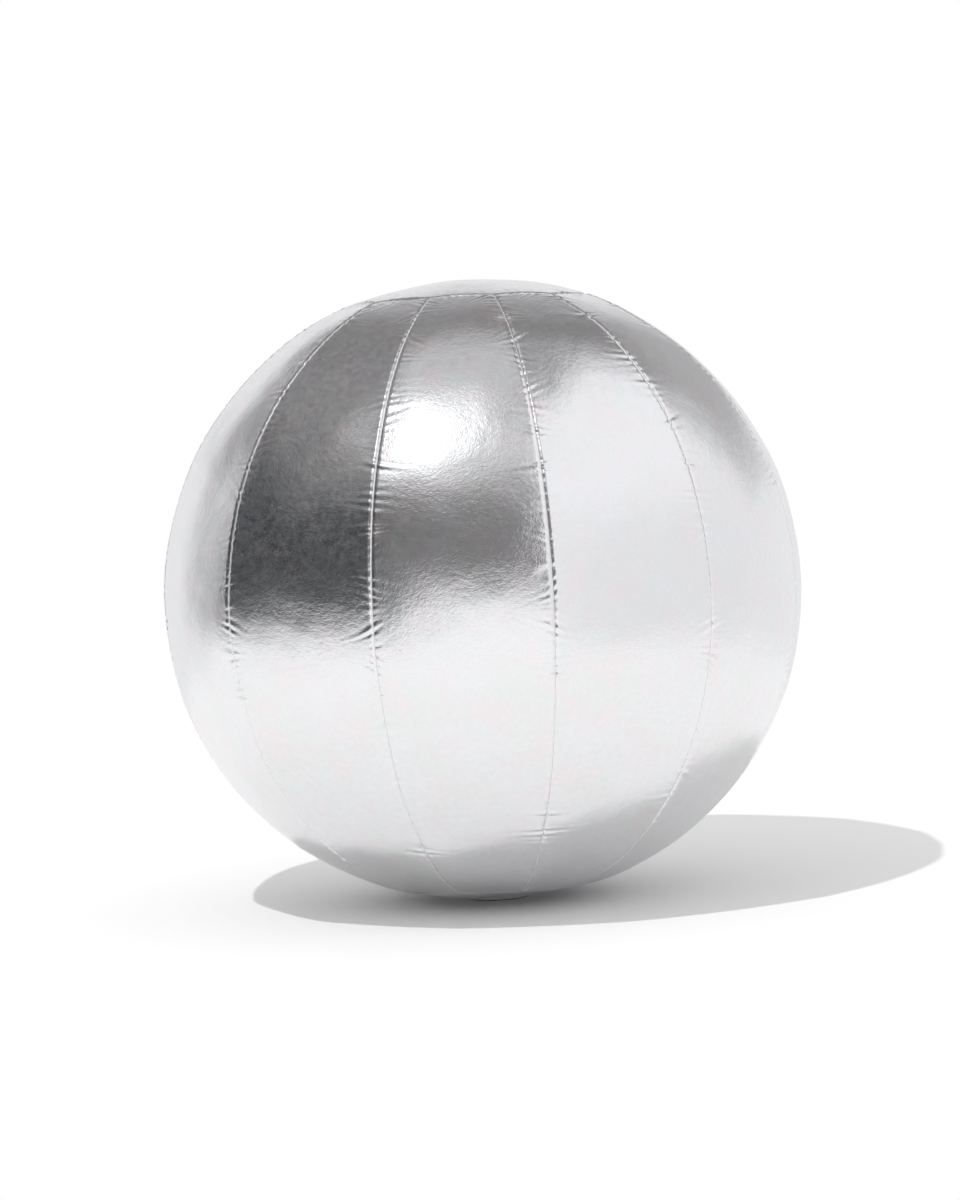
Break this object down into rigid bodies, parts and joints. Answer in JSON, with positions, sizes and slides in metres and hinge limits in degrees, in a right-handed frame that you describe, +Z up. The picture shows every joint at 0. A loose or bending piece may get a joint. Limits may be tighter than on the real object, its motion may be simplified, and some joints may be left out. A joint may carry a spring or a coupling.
{
  "type": "exercise ball",
  "caption": "Inflatable exercise ball in a sewn silver faux-leather cover of long gores, with polygonal end caps, a rear zip and a small anti-slip foot.",
  "frame": {"origin": "on the floor, under the middle of the foot, on the ball's upright axis", "axes": "+Z up along the ball's axis through both caps; the middle of one gore faces -Y, the front; the zip's seam is at the rear, 15 degrees past +Y towards -X"},
  "size_m": [0.5458, 0.5459, 0.5335],
  "materials": {
    "cover_leather": "crinkled metallic silver foil on soft faux leather, glossy",
    "binding_tape": "woven polyester tape, matt",
    "zip_tape": "woven polyester zip tape, matt",
    "zip_teeth": "moulded zip teeth, satin",
    "zip_metal": "nickel-plated die-cast zinc, slightly worn",
    "bladder_vinyl": "soft moulded vinyl, satin",
    "valve_plastic": "moulded plastic",
    "foot_plastic": "silver-grey moulded plastic, satin",
    "sole_rubber": "soft anti-slip rubber, matt",
    "plate_plastic": "black moulded plastic",
    "screw_steel": "zinc-plated steel"
  },
  "bodies": {
    "cover": {"bladder": "bladder_vinyl", "bottom_cap": "cover_leather", "foot": "foot_plastic", "foot_backing_plate": "plate_plastic", "foot_screws": "screw_steel", "foot_sole": "sole_rubber", "gore_01": "cover_leather", "gore_02": "cover_leather", "gore_03": "cover_leather", "gore_04": "cover_leather", "gore_05": "cover_leather", "gore_06": "cover_leather", "gore_07": "cover_leather", "gore_08": "cover_leather", "gore_09": "cover_leather", "gore_10": "cover_leather", "gore_11": "cover_leather", "gore_12": "cover_leather", "seam_binding_01": "binding_tape", "seam_binding_02": "binding_tape", "seam_binding_03": "binding_tape", "seam_binding_04": "binding_tape", "seam_binding_05": "binding_tape", "seam_binding_06": "binding_tape", "seam_binding_07": "binding_tape", "seam_binding_08": "binding_tape", "seam_binding_09": "binding_tape", "seam_binding_10": "binding_tape", "seam_binding_11": "binding_tape", "top_cap": "cover_leather", "valve_plug": "valve_plastic", "valve_seat": "valve_plastic", "zip_bottom_stop": "zip_metal", "zip_tape_left": "zip_tape", "zip_tape_right": "zip_tape", "zip_teeth_left": "zip_teeth", "zip_teeth_right": "zip_teeth", "zip_top_stop_left": "zip_metal", "zip_top_stop_right": "zip_metal"},
    "slider": {"zip_slider": "zip_metal"},
    "pull": {"zip_pull": "zip_metal"}
  },
  "joints": [
    {"name": "zip_travel", "type": "hinge", "parent": "cover", "child": "slider", "pos_m": [-0.00307, 0.01147, 0.265], "axis": [-0.9659, -0.2588, 0], "range_deg": [0, 60.5]},
    {"name": "pull_flip", "type": "hinge", "parent": "slider", "child": "pull", "pos_m": [-0.07209, 0.26903, 0.25149], "axis": [0.9659, 0.2588, 0], "range_deg": [0, 175]}
  ]
}
